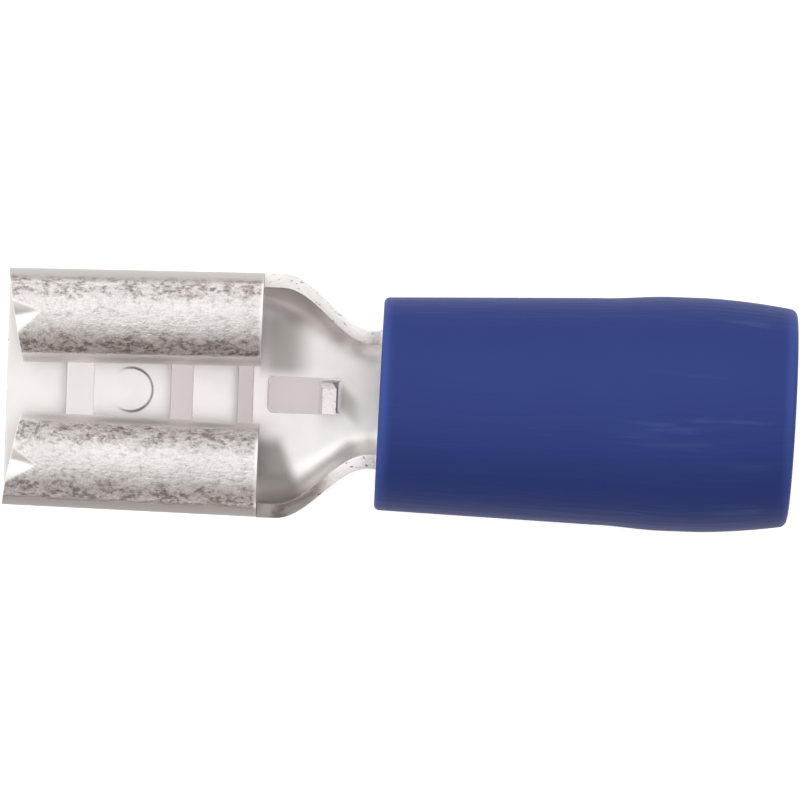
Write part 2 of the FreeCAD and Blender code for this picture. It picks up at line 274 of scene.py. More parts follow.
terminal = {
    # The strip, and the receptacle with its rolls
    "thickness": 0.35,
    "bendInside": 0.15,
    "receptacleLength": 6.25,
    "mouthWidth": 5.79,
    "rearWidth": 5.97,
    "rollHeight": 2.25,
    "rollRadius": 1.145,
    "tabGap": 0.70,
    "frontSetback": 0.43,
    "setbackReach": 1.3,
    "setbackEase": 0.25,
    # Each slot's start and width
    "slots": ((1.47, 0.68), (4.03, 0.55), (5.68, 0.38)),
    "slotHalf": 1.75,
    "slitStart": 6.243,
    "slitEnd": 6.25,
    "slitFloor": 0.75,
    # The neck, from wide cheeks to a trough
    "cheekLength": 0.45,
    "cheekCorner": 1.42,
    "troughCorner": 1.02,
    "wingCorner": 1.04,
    "cornerStart": 3.6,
    "cornerEnd": 7.3,
    "floorArcStart": 5.6,
    "floorArc": math.radians(5),
    "cutSlant": 0.36,
    "slantStart": (6.5, 7.1),
    "slantFade": (7.4, 8.3),
    "slantLoss": 0.8,
    "cheekHeight": 1.45,
    "shoulderLength": 2.25,
    "troughShow": 0.20,
    "troughWrap": math.radians(10),
    "closingLength": 1.10,
    # The window, and the tongue that turns up behind it
    "windowStart": 6.41,
    "windowHalf": 0.45,
    "windowCorner": 0.15,
    "windowFloorShare": 0.66,
    "tongueRoot": 8.16,
    "tongueHalf": 0.41,
    "tongueHeight": 1.25,
    "tongueLean": math.radians(7),
    "tongueCut": 0.22,
    "tongueTwist": 0.077,
    "tongueTaper": 0.19,
    # The barrel, closed to a seam and grooved inside
    "barrelRadius": 1.70,
    "barrelLength": 3.90,
    "barrelSeam": 0.06,
    "grooveCount": 4,
    "grooveWidth": 0.22,
    "grooveDepth": 0.06,
    "groovePitch": 0.75,
    # The detent, and the lead-in dents of the rolls
    "detentPlace": 3.05,
    "detentRadius": 0.535,
    "detentHeight": 0.048,
    "detentWall": 0.076,
    "detentSlope": 1.5,
    "detentPatch": 0.66,
    "detentRings": (
        0.62, 0.595, 0.58, 0.565, 0.55, 0.535, 0.52, 0.505, 0.49, 0.45, 0.38, 0.30, 0.22, 0.14, 0.07),
    "dentLength": 0.70,
    "dentDepth": 0.23,
    "dentSteepReach": 0.40,
    "dentShallowReach": 0.56,
    "dentDrift": 0.145,
    "dentUnworn": 0.02,
    "dentSmooth": 0.03,
    # Cut edges and wear
    "edgeRound": 0.035,
    "fineEdgeRound": 0.010,
    "rimAngle": 1.0,
    "sharpAngle": 0.45,
    "slotRollover": 0.060,
    "rolloverReach": 0.26,
    "breakOut": 0.035,
    "rearBurr": 0.009,
    "burrReach": 0.06,
    "burrBand": (0.8, 1.2),
    "cleanRear": (0.045, 0.015),
    "crestRoughness": 0.007,
    "crestBand": (0.45, 0.75),
    "crestCoarse": (3.1, 3.6, 4.0),
    "crestFine": (6.5, 7.5, 9.0),
    "crestFineShare": 0.8,
    # How finely the strip is divided
    "cell": 0.078,
    "fineCell": 0.052,
    "fineReach": 1.0,
    "hiddenCell": 0.20,
}
t = terminal
slack = 0.01  # how far past a mark a point may lie and still belong to it
touch = 1e-4
bendOuter = t["bendInside"] + t["thickness"]
rollCentre = t["rollHeight"] - t["rollRadius"]
shoulderStart = t["receptacleLength"] + t["cheekLength"]
shoulderEnd = shoulderStart + t["shoulderLength"]
barrelStart = shoulderEnd + t["troughShow"] + t["closingLength"]
barrelEnd = barrelStart + t["barrelLength"]
barrelWrap = math.pi / 2 - math.asin(t["barrelSeam"] / (2 * t["barrelRadius"]))
floorReach = t["rearWidth"] / 2 - bendOuter
bendReach = floorReach + bendOuter * math.pi / 2
slitReach = bendReach + t["slitFloor"] - bendOuter
neckReach = bendReach + t["cheekHeight"] - bendOuter
rollReach = bendReach + rollCentre - bendOuter
curl = math.pi + math.asin((rollCentre - t["thickness"] - t["tabGap"]) / t["rollRadius"])
wingReach = rollReach + t["rollRadius"] * curl
tongueStraight = t["tongueHeight"] - bendOuter
tongueTip = t["tongueRoot"] - bendOuter * math.pi / 2 - tongueStraight
crown = rollReach + t["rollRadius"] * math.pi / 2
slitMiddle = (t["slitStart"] + t["slitEnd"]) / 2
midDepth = t["thickness"] / 2


def mixed(a, b, share):
    return a + (b - a) * share


def eased(value, start, end):
    share = min(max((value - start) / (end - start), 0.0), 1.0)
    return (1 - math.cos(math.pi * share)) / 2


def stations(marks, cell):
    # Evenly spaced places that always include the marks
    places = [marks[0]]
    for start, end in zip(marks, marks[1:]):
        count = max(1, round((end - start) / cell))
        places += [mixed(start, end, i / count) for i in range(1, count + 1)]
    return places


def floorAndCorner(x):
    # Bends of the floor and the corner, the height where the corner ends, and the opened corner's radius
    narrowed = eased(x, shoulderStart, shoulderEnd)
    width = mixed(t["mouthWidth"], t["rearWidth"], min(x / t["receptacleLength"], 1.0))
    half = mixed(width / 2, t["barrelRadius"], narrowed)
    opening = mixed(bendOuter, t["wingCorner"], eased(x, t["cornerStart"], t["slitStart"]))
    opening = mixed(opening, t["cheekCorner"], eased(x, t["slitEnd"], t["cornerEnd"]))
    closing = mixed(t["troughCorner"], t["barrelRadius"], eased(x, shoulderEnd, barrelStart))
    corner = mixed(opening, closing, narrowed)
    floorTurn = t["floorArc"] * eased(x, t["floorArcStart"], shoulderEnd)
    floorLength, rise = half - corner, 0.0
    if floorTurn > 1e-6:
        floorRadius = (half - corner * (1 - math.sin(floorTurn))) / math.sin(floorTurn)
        floorLength = floorRadius * floorTurn
        rise = (floorRadius - corner) * (1 - math.cos(floorTurn))
    cornerTurn = math.pi / 2 - floorTurn
    return [(floorLength, floorTurn), (corner * cornerTurn, cornerTurn)], corner + rise, opening


def receptacleBends(x):
    bends, height, _ = floorAndCorner(x)
    return bends + [(rollCentre - height, 0.0), (t["rollRadius"] * curl, curl)]


def neckBends(x):
    # Wide channel, then a trough, then a tube
    bends, height, opening = floorAndCorner(x)
    narrowed = eased(x, shoulderStart, shoulderEnd)
    closed = eased(x, shoulderEnd + t["troughShow"], barrelStart)
    wrap = mixed(t["troughWrap"], barrelWrap, closed)
    upright = max(mixed(opening, t["barrelRadius"], narrowed) - height, 0.0)
    wall = mixed(t["cheekHeight"] - opening, t["barrelRadius"] * wrap, narrowed)
    return bends + [(upright, 0.0), (wall, wrap * narrowed)]


def follow(y, z, heading, length, turn):
    if abs(turn) < 1e-7:
        return y + length * math.cos(heading), z + length * math.sin(heading), heading
    radius = length / turn
    y += radius * (math.sin(heading + turn) - math.sin(heading))
    z += radius * (math.cos(heading) - math.cos(heading + turn))
    return y, z, heading + turn


def neckFloorShare(reach, length):
    # The window keeps its straight sides while the floor beside it gets narrower
    half = t["windowHalf"]
    inner = min(half, t["windowFloorShare"] * length)
    if reach <= half:
        return inner * reach / half / length
    return (inner + (length - inner) * (reach - half) / (floorReach - half)) / length


def bentAcross(x, reach, depth):
    # Where a point of the strip goes when the section at x is bent
    if x < slitMiddle:
        bends = receptacleBends(x)
        ends = [floorReach, bendReach, rollReach, wingReach]
    else:
        bends = neckBends(x)
        upright, wall = bends[2][0], bends[3][0]
        uprightReach = mixed(bendReach, neckReach, upright / (upright + wall))
        ends = [floorReach, bendReach, uprightReach, neckReach]
    y, z, heading, start = 0.0, depth, 0.0, 0.0
    for (length, turn), end in zip(bends, ends):
        if end - start < 1e-9:
            continue
        share = (reach - start) / (end - start)
        if end == floorReach and x > slitMiddle:
            share = neckFloorShare(reach, length)
        if end != ends[-1]:
            share = min(share, 1.0)
        y, z, heading = follow(y, z, heading, (length - depth * turn) * share, turn * share)
        if share < 1.0:
            break
        start = end
    return y, z, heading


def onReceptacle(x):
    return x < t["slitStart"] + slack


def onRollOutside(x, reach, depth):
    return onReceptacle(x) and reach > rollReach and depth < midDepth


def onNeck(x):
    return x > t["slitEnd"] - slack


def onTongue(x, reach):
    return tongueTip - slack < x < t["tongueRoot"] and reach < t["tongueHalf"] + slack


def isScrap(x, across):
    # Parts of the rectangle that the stamping tool takes away
    reach = abs(across)
    inSlot = reach < t["slotHalf"] and any(a < x < a + w for a, w in t["slots"])
    inSlit = t["slitStart"] < x < t["slitEnd"] and reach > slitReach
    besideNeck = x > t["slitEnd"] and reach > neckReach
    inWindow = t["windowStart"] < x < t["tongueRoot"] and reach < t["windowHalf"]
    inTongue = x > tongueTip and reach < t["tongueHalf"]
    aroundDetent = max(abs(x - t["detentPlace"]), reach) < t["detentPatch"]
    return inSlot or inSlit or besideNeck or (inWindow and not inTongue) or aroundDetent


def grooveMarks():
    middle = (barrelStart + barrelEnd) / 2
    marks = []
    for i in range(t["grooveCount"]):
        place = middle + (i - (t["grooveCount"] - 1) / 2) * t["groovePitch"]
        marks += [place - t["grooveWidth"] / 2, place, place + t["grooveWidth"] / 2]
    return marks


def stampedStrip():
    slotMarks = [place for start, width in t["slots"] for place in (start, start + width)]
    patch = [t["detentPlace"] - t["detentPatch"], t["detentPlace"] + t["detentPatch"]]
    marks = sorted([
        0.0, *slotMarks, *patch, t["slitStart"], t["slitEnd"], t["windowStart"], tongueTip,
        shoulderStart, t["tongueRoot"], shoulderEnd, barrelStart])
    along = stations([0.0, t["fineReach"]], t["fineCell"])
    along += stations([t["fineReach"]] + marks[1:], t["cell"])[1:]
    along += stations([barrelStart, *grooveMarks(), barrelEnd], t["hiddenCell"])[1:]
    side = [
        0.0, t["tongueHalf"], t["windowHalf"], t["detentPatch"], t["slotHalf"], floorReach,
        bendReach, slitReach, rollReach, neckReach, wingReach]
    half = stations(side[:6], t["cell"])
    half += stations(side[5:7], t["fineCell"])[1:]
    half += stations(side[6:10], t["cell"])[1:]
    half += stations(side[9:], t["fineCell"])[1:]
    across = [-place for place in half[:0:-1]] + half
    bm = bmesh.new()
    bmesh.ops.create_grid(bm, x_segments=len(along) - 1, y_segments=len(across) - 1, size=1.0)
    for vert in bm.verts:
        i = round((vert.co.x + 1) / 2 * (len(along) - 1))
        j = round((vert.co.y + 1) / 2 * (len(across) - 1))
        vert.co = (along[i], across[j], 0.0)
    scrap = [f for f in bm.faces if isScrap(*f.calc_center_median().xy)]
    bmesh.ops.delete(bm, geom=scrap, context="FACES")
    roundWindowCorners(bm)
    addDetentPatch(bm)
    return bm


def roundWindowCorners(bm):
    size = t["windowCorner"]
    for side in (-1, 1):
        centre = Vector((t["windowStart"] + size, side * (t["windowHalf"] - size), 0.0))
        for vert in bm.verts:
            if not vert.is_boundary:
                continue
            near = vert.co.x < centre.x + touch and side * (vert.co.y - centre.y) > -touch
            onEdge = vert.co.x > t["windowStart"] - touch and abs(vert.co.y) < t["windowHalf"] + touch
            if near and onEdge:
                vert.co = centre + (vert.co - centre).normalized() * size


def addDetentPatch(bm):
    # Rings that run in from the square hole to the round detent, then a cap
    centre = Vector((t["detentPlace"], 0.0, 0.0))
    near = t["detentPatch"] + touch
    ring = [
        e for e in bm.edges if e.is_boundary
        and all(max(abs(v.co.x - centre.x), abs(v.co.y)) < near for v in e.verts)]
    for size in t["detentRings"]:
        made = bmesh.ops.extrude_edge_only(bm, edges=ring)["geom"]
        for vert in [g for g in made if isinstance(g, bmesh.types.BMVert)]:
            vert.co = centre + (vert.co - centre).normalized() * size
        ring = [g for g in made if isinstance(g, bmesh.types.BMEdge) and g.is_boundary]
    cap = bmesh.ops.edgenet_fill(bm, edges=ring)["faces"]
    bmesh.ops.poke(bm, faces=cap)


def thickened(bm):
    # The blank gets its thickness, and its cut edges are slightly rounded
    bmesh.ops.recalc_face_normals(bm, faces=bm.faces[:])
    up = sum(f.normal.z for f in bm.faces) > 0
    if not up:
        bmesh.ops.reverse_faces(bm, faces=bm.faces[:])
    made = bmesh.ops.extrude_face_region(bm, geom=bm.faces[:], use_keep_orig=True)["geom"]
    for vert in [g for g in made if isinstance(g, bmesh.types.BMVert)]:
        vert.co.z = t["thickness"]
    bmesh.ops.recalc_face_normals(bm, faces=bm.faces[:])
    rim = [
        e for e in bm.edges if len(e.link_faces) == 2 and e.calc_face_angle() > t["rimAngle"]
        and abs(e.verts[0].co.z - e.verts[1].co.z) < touch]
    fine = [e for e in rim if all(isFineEdge(v.co) for v in e.verts)]
    rest = [e for e in rim if e not in set(fine)]
    for edges, size, segments in ((rest, t["edgeRound"], 2), (fine, t["fineEdgeRound"], 1)):
        bmesh.ops.bevel(
            bm, geom=[e for e in edges if e.is_valid], offset=size, segments=segments, profile=0.5,
            affect="EDGES", clamp_overlap=True, material=-1)
    # Cut faces stay flat right up to their rounded rims
    for edge in bm.edges:
        edge.smooth = edge.calc_face_angle(0.0) < t["sharpAngle"]
    return bm


def isFineEdge(point):
    # The edges of the slots and beside the slit are crisper than the rest
    x, reach = point.x, abs(point.y)
    besideSlit = t["slitStart"] - touch < x < t["slitEnd"] + touch and reach > slitReach - touch
    aroundSlot = reach < t["slotHalf"] + touch and any(
        start - touch < x < start + width + touch for start, width in t["slots"])
    aroundTongue = tongueTip - touch < x < t["tongueRoot"] - touch and reach < t["windowHalf"] + touch
    return besideSlit or aroundSlot or aroundTongue


def detentRise(x, y):
    # The detent rises from nothing at its front to a low wall at its rear
    radius, wall = t["detentRadius"], t["detentWall"]
    away = math.hypot(x - t["detentPlace"], y)
    share = max((x - t["detentPlace"] + radius) / (2 * radius), 0.0)
    inside = 1 - eased(away, radius - wall / 2, radius + wall / 2)
    return t["detentHeight"] * share ** t["detentSlope"] * inside


def slotRollover(x, reach):
    # The punch draws the base down a little in front of each slot
    if reach > t["slotHalf"]:
        return 0.0
    shares = [1 - (start - x) / t["rolloverReach"] for start, _ in t["slots"]]
    near = [share for share in shares if 0.0 < share < 1.0 + touch]
    return t["slotRollover"] * max(near) ** 2 if near else 0.0


def brokenEdge(x, reach):
    # The punch breaks out unevenly below, so the rear walls of the slots and the window's front slope
    nearSlot = t["fineEdgeRound"] + slack / 2
    nearWindow = t["edgeRound"] + slack / 2
    if reach < t["slotHalf"] + slack:
        if any(abs(x - start - width) < nearSlot for start, width in t["slots"]):
            return -t["breakOut"]
    if abs(x - t["windowStart"]) < nearWindow and reach < t["windowHalf"] - t["windowCorner"]:
        return t["breakOut"]
    return 0.0


def tongueBent(x, y, depth):
    # The tongue turns up behind the window, leaning a little away from the mouth
    root = bentAcross(t["tongueRoot"], abs(y), 0.0)[1]
    run = t["tongueRoot"] - x
    full = math.pi / 2 + t["tongueLean"]
    arc = min(run / (bendOuter * math.pi / 2), 1.0)
    px, pz, heading = follow(0.0, depth, math.pi, (bendOuter - depth) * full * arc, -full * arc)
    if arc >= 1.0:
        rest = run - bendOuter * math.pi / 2
        if x < tongueTip + 2 * slack:
            rest += t["tongueCut"] * (depth - midDepth)
        px += rest * math.cos(heading)
        pz += rest * math.sin(heading)
    y = y * (1 - t["tongueTaper"] * pz) - t["tongueTwist"] * pz
    return Vector((t["tongueRoot"] + px, y, root + pz))


def dentSag(point, side):
    # Lead-in dent at the mouth of each roll: two flat flanks that meet in a valley
    start = t["frontSetback"] / 2
    share = 1 - (point.x - start) / t["dentLength"]
    if share <= 0:
        return 0.0
    crest = t["mouthWidth"] / 2 - t["rollRadius"]
    valley = side * (crest + t["dentDrift"] * (1 - share))
    reach = point.y - valley
    steepness = t["dentDepth"] / (t["dentSteepReach"] if reach > 0 else t["dentShallowReach"])
    return max(t["dentDepth"] * share - steepness * abs(reach), 0.0)


def onCrest(reach, full, none):
    # 1 along a roll's crown, easing off between the two shares of its radius
    return 1 - eased(abs(reach - crown) / t["rollRadius"], full, none)


def crestNoise(x, across, scales):
    return noise.noise(Vector((x * scales[0], across * scales[1], scales[2])))


def crestPush(x, across, sag):
    # How far the roll's outer face stands in or out: slightly rough on top, a burr at the rear
    reach = abs(across)
    rough = crestNoise(x, across, t["crestCoarse"])
    rough += t["crestFineShare"] * crestNoise(x, across, t["crestFine"])
    rough = (1 + rough) * onCrest(reach, *t["crestBand"]) * (1 - eased(sag, 0.0, t["dentSmooth"]))
    nearRear = eased(x, t["slitStart"] - t["burrReach"], t["slitStart"] - slack)
    burr = t["rearBurr"] * nearRear * onCrest(reach, *t["burrBand"])
    return burr - t["crestRoughness"] * rough


def bentReceptacle(point, flat, y, heading):
    x, across, depth = flat
    reach, side = abs(across), (1 if across >= 0 else -1)
    if reach < t["detentPatch"]:
        point.z += detentRise(x, y)
    point.z -= slotRollover(x, reach)
    setback = t["frontSetback"] * (t["mouthWidth"] / 2 - y) / (2 * t["rollRadius"])
    onWing = min(max((reach - bendReach) / t["setbackEase"], 0.0), 1.0)
    point.x += setback * onWing * (1 - eased(x, 0.0, t["setbackReach"]))
    if reach > rollReach:
        outward = Vector((0.0, side * math.sin(heading), -math.cos(heading)))
        sag = dentSag(point, side)
        if depth < midDepth:
            point += outward * crestPush(x, across, sag)
        point -= outward * sag


def slantDrop(x, reach, depth):
    # The shears left the cut of the near neck wall sloping outward
    cut = (reach - bendReach) / (neckReach - bendReach)
    slant = t["cutSlant"] * eased(x, *t["slantStart"]) * (1 - t["slantLoss"] * eased(x, *t["slantFade"]))
    slant *= 1 - eased(x, shoulderEnd, barrelStart)
    return slant * (1 - depth / t["thickness"]) * cut ** 4


def bentPoint(flat):
    x, across, depth = flat
    side = 1 if across >= 0 else -1
    reach = abs(across)
    if onTongue(x, reach):
        return tongueBent(x, across, depth)
    y, z, heading = bentAcross(x, reach, depth)
    point = Vector((x, side * y, z))
    if depth < midDepth:
        point.x += brokenEdge(x, reach)
    if onReceptacle(x):
        bentReceptacle(point, flat, y, heading)
    elif side < 0 and reach > bendReach and x < barrelStart:
        point.z -= slantDrop(x, reach, depth)
    elif x > barrelStart and depth > midDepth:
        for place in grooveMarks()[1::3]:
            bite = 1 - abs(x - place) / (t["grooveWidth"] / 2)
            if bite > 0:
                point.y += side * math.sin(heading) * t["grooveDepth"] * bite
                point.z -= math.cos(heading) * t["grooveDepth"] * bite
    return point


# Where shade is painted on the tin, as places along and across the terminal
paintedShadeSpots = {
    # Painted shade in the neck's far and near rear corners, where the rolls shade it
    "farInner": (0.3, 0.75),
    "farOuter": (1.75, 2.25),
    "farRear": (6.85, 7.7),
    "farFront": (6.25, 6.6),
    "farStrength": 0.74,
    "farFrontShare": 0.6,
    "nearInner": (0.85, 1.35),
    "nearOuter": (1.9, 2.45),
    "nearRear": (6.62, 6.98),
    "nearStrength": 0.8,
    "nearOuterLoss": 0.5,
    "nearSlope": 0.4,
    "nearSlopeFrom": 1.2,
    # The painted shadow of the tongue, falling behind it
    "behindPlace": 8.2,
    "behindSlope": 0.92,
    "behindWidth": (0.12, 0.46),
    "behindFront": (7.95, 8.12),
    "behindRear": (8.4, 8.85),
    "behindStrength": 0.5,
    # Painted shade on the cut of the near neck wall
    "cutStrength": (0.80, 0.55),
    "cutChange": (6.5, 7.2),
    "cutRear": (7.6, 8.0),
    # Painted shade on the rolls' outer flanks, full on the near roll and less on the far one
    "flankRange": (0.80, 0.96),
    "flankFarShare": 0.75,
}


def neckPaintedShade(x, y):
    # Painted shade in both rear corners of the neck, where the rolls shade it, and a smaller painted
    # shadow behind the tongue
    d = paintedShadeSpots
    far = eased(y, *d["farInner"]) * (1 - eased(y, *d["farOuter"])) * (1 - eased(x, *d["farRear"]))
    farFront = d["farFrontShare"] + (1 - d["farFrontShare"]) * eased(x, *d["farFront"])
    near = d["nearStrength"] * eased(-y, *d["nearInner"])
    near *= 1 - d["nearOuterLoss"] * eased(-y, *d["nearOuter"])
    near *= 1 - eased(x - d["nearSlope"] * max(-y - d["nearSlopeFrom"], 0.0), *d["nearRear"])
    offset = abs(y + d["behindSlope"] * (x - d["behindPlace"]))
    behind = (1 - eased(offset, *d["behindWidth"])) * eased(x, *d["behindFront"])
    behind *= 1 - eased(x, *d["behindRear"])
    return d["farStrength"] * far * farFront + near + d["behindStrength"] * behind


def cutPaintedShade(x):
    # Painted shade on the cut of the near neck wall, which faces away from the light, fading towards the
    # rear
    strength = mixed(*paintedShadeSpots["cutStrength"], eased(x, *paintedShadeSpots["cutChange"]))
    return strength * (1 - eased(x, *paintedShadeSpots["cutRear"]))


def markSurface(bm):
    # What the finish needs to know: place on the strip, sheared edges, rolled crests, and where shade is
    # painted
    strip = bm.loops.layers.uv.new("strip")
    sheared, crest, lean, paintedShade, flank = [
        bm.verts.layers.float.new(name) for name in ("sheared", "crest", "lean", "paintedShade", "flank")]
    cleanStart, cleanFull = [t["slitStart"] - back for back in t["cleanRear"]]
    offCrest = -9.0
    for vert in bm.verts:
        x, across, depth = vert.co
        reach, side = abs(across), (1 if across >= 0 else -1)
        vert[sheared] = 1.0 if slack / 2 < depth < t["thickness"] - slack / 2 else 0.0
        vert[lean] = offCrest * side
        if onRollOutside(x, reach, depth):
            unworn = eased(dentSag(bentPoint(vert.co), side), 0.0, t["dentUnworn"])
            unworn = max(unworn, eased(x, cleanStart, cleanFull))
            vert[crest] = 1 - unworn
            vert[lean] = side * (reach - crown) / t["rollRadius"]
            # Painted shade on the outer flank, full on the near roll and less on the far one
            outer = eased((crown - reach) / t["rollRadius"], *paintedShadeSpots["flankRange"])
            vert[flank] = outer if side < 0 else paintedShadeSpots["flankFarShare"] * outer
        # Painted shade in the neck: its rear corners and the tongue's shadow
        if depth > midDepth and onNeck(x) and not onTongue(x, reach):
            vert[paintedShade] = neckPaintedShade(x, bentPoint(vert.co).y)
        # Painted shade on the near wall's cut
        if vert[sheared] > 0 and onNeck(x) and across < -slitReach:
            vert[paintedShade] = cutPaintedShade(x)
    for face in bm.faces:
        for loop in face.loops:
            x, across, depth = loop.vert.co
            loop[strip].uv = (x + depth, across + depth)


def makeTerminal():
    bm = thickened(stampedStrip())
    markSurface(bm)
    for vert in bm.verts:
        vert.co = bentPoint(vert.co)
    bmesh.ops.recalc_face_normals(bm, faces=bm.faces[:])
    bmesh.ops.transform(bm, matrix=levelToRest, verts=bm.verts[:])
    return finishedPiece(bm, "stamped_terminal")


def finishedPiece(bm, name):
    openEdges = sum(1 for e in bm.edges if not e.is_manifold)
    print(name, "faces", len(bm.faces), "open edges", openEdges, "volume mm3", bm.calc_volume() / mm ** 3)
    mesh = bpy.data.meshes.new(name)
    bm.to_mesh(mesh)
    bm.free()
    mesh.polygons.foreach_set("use_smooth", [True] * len(mesh.polygons))
    piece = bpy.data.objects.new(name, mesh)
    scene.collection.objects.link(piece)
    return piece


# Sleeve: one profile is spun round the barrel's axis, then its ends and its bulge are eased

sleeve = {
    # Outside, from the front to the rear
    "front": 9.15,
    "rear": 19.215,
    "axisHeight": 1.70,
    "frontRadius": 2.60,
    "waistRadius": 2.765,
    "waist": 14.4,
    "bulgeRadius": 2.855,
    "bulgeStart": 15.8,
    "bulgeFull": 16.2,
    "bulgeEnd": 16.9,
    "rearRadius": 2.67,
    "rearFall": 1.7,
    "edgeRound": 0.20,
    "frontRound": 0.13,
    # Bore: clear of the neck, then close round the barrel, then open for the wire
    "neckRadius": 2.02,
    "neckLength": 0.30,
    "boreStart": 10.35,
    "boreRadius": 1.72,
    "boreEnd": 14.15,
    "entryStart": 14.65,
    "entryRadius": 2.10,
    "innerBreak": 0.10,
    # Cut a little out of square, and set slightly off the barrel's axis
    "sideShift": -0.09,
    "flattened": 0.012,
    "frontSkew": 0.016,
    "rearSkew": 0.018,
    "shiftedFrom": 2.30,
    # How finely it is divided
    "turns": 144,
    "slices": 0.11,
    # Painted highlight at both ends, and the part that shows drawn lines
    "paintedEndHighlight": (0.06, 0.32),
    "linesStart": (14.7, 15.6),
    "linesEnd": (18.2, 18.8),
}


def roundedCorner(end, radius, size, angles):
    # A quarter round at an end; its size is negative where the corner faces the rear
    turns = [math.radians(angle) for angle in angles]
    return [(end + size * (1 - math.sin(a)), radius - abs(size) * (1 - math.cos(a))) for a in turns]


def brokenCorner(end, radius, size):
    # The narrow break at an end of the bore, close to a quarter round
    near = size * 0.3
    return [(end, radius + abs(size)), (end + near, radius + abs(near)), (end + size, radius)]


def sleeveOutline():
    # Profile corners as (x, radius), outside first, then back through the bore
    s = sleeve
    front, rear = s["front"] + s["frontRound"], s["rear"] - s["edgeRound"]
    outside = roundedCorner(s["front"], s["frontRadius"], s["frontRound"], (90, 67.5, 45, 22.5, 0))
    steps = stations([front, s["waist"], s["bulgeStart"], s["bulgeEnd"], rear], s["slices"])
    outside += [(x, outerRadius(x)) for x in steps[1:]]
    outside += roundedCorner(s["rear"], s["rearRadius"], -s["edgeRound"], (22.5, 45, 67.5, 90))
    inside = brokenCorner(s["rear"], s["entryRadius"], -s["innerBreak"])
    inside += [
        (s["entryStart"] + s["innerBreak"], s["entryRadius"]),
        (s["boreEnd"], s["boreRadius"]), (s["boreStart"], s["boreRadius"]),
        (s["front"] + s["neckLength"], s["neckRadius"])]
    inside += brokenCorner(s["front"], s["neckRadius"], s["innerBreak"])[::-1]
    return outside + inside


def outerRadius(x):
    s = sleeve
    if x <= s["waist"]:
        front = s["front"] + s["frontRound"]
        return mixed(s["frontRadius"], s["waistRadius"], (x - front) / (s["waist"] - front))
    if x <= s["bulgeEnd"]:
        return mixed(s["waistRadius"], s["bulgeRadius"], eased(x, s["waist"], s["bulgeFull"]))
    fall = (x - s["bulgeEnd"]) / (s["rear"] - s["edgeRound"] - s["bulgeEnd"])
    return mixed(s["bulgeRadius"], s["rearRadius"], fall ** s["rearFall"])


def wrapSleeve(bm):
    # Length and girth in millimetres for the drawn streaks, and how near an end each point is, for the
    # painted highlight at the ends
    s = sleeve
    wrap = bm.loops.layers.uv.new("wrap")
    ends = bm.verts.layers.float.new("ends")
    bulge = bm.verts.layers.float.new("bulge")
    for vert in bm.verts:
        nearest = min(vert.co.x - s["front"], s["rear"] - vert.co.x)
        vert[ends] = 1 - eased(nearest, *s["paintedEndHighlight"])
        vert[bulge] = eased(vert.co.x, *s["linesStart"]) * (1 - eased(vert.co.x, *s["linesEnd"]))
    for face in bm.faces:
        middle = face.calc_center_median()
        turn = math.atan2(middle.y, middle.z - s["axisHeight"])
        for loop in face.loops:
            point = loop.vert.co
            around = math.atan2(point.y, point.z - s["axisHeight"])
            if abs(around - turn) > math.pi:
                around += math.copysign(2 * math.pi, turn)
            loop[wrap].uv = (point.x, around * s["frontRadius"])


def makeSleeve():
    s = sleeve
    bm = bmesh.new()
    profile = [bm.verts.new((x, 0.0, s["axisHeight"] + radius)) for x, radius in sleeveOutline()]
    edges = [bm.edges.new(pair) for pair in zip(profile, profile[1:] + profile[:1])]
    bmesh.ops.spin(
        bm, geom=profile + edges, cent=(0.0, 0.0, s["axisHeight"]), axis=(1.0, 0.0, 0.0),
        dvec=(0.0, 0.0, 0.0), angle=2 * math.pi, steps=s["turns"], use_merge=True)
    middle = (s["front"] + s["rear"]) / 2
    for vert in bm.verts:
        y, z = vert.co.y, vert.co.z - s["axisHeight"]
        nearFront = 1 - eased(vert.co.x, s["front"], middle)
        nearRear = eased(vert.co.x, middle, s["rear"])
        vert.co.x += y * (s["frontSkew"] * nearFront + s["rearSkew"] * nearRear)
        if math.hypot(y, z) > s["shiftedFrom"]:
            vert.co.z -= s["flattened"] * z
            vert.co.y += s["sideShift"]
    wrapSleeve(bm)
    bmesh.ops.recalc_face_normals(bm, faces=bm.faces[:])
    bmesh.ops.transform(bm, matrix=levelToRest, verts=bm.verts[:])
    return finishedPiece(bm, "vinyl_sleeve")


# Finishes

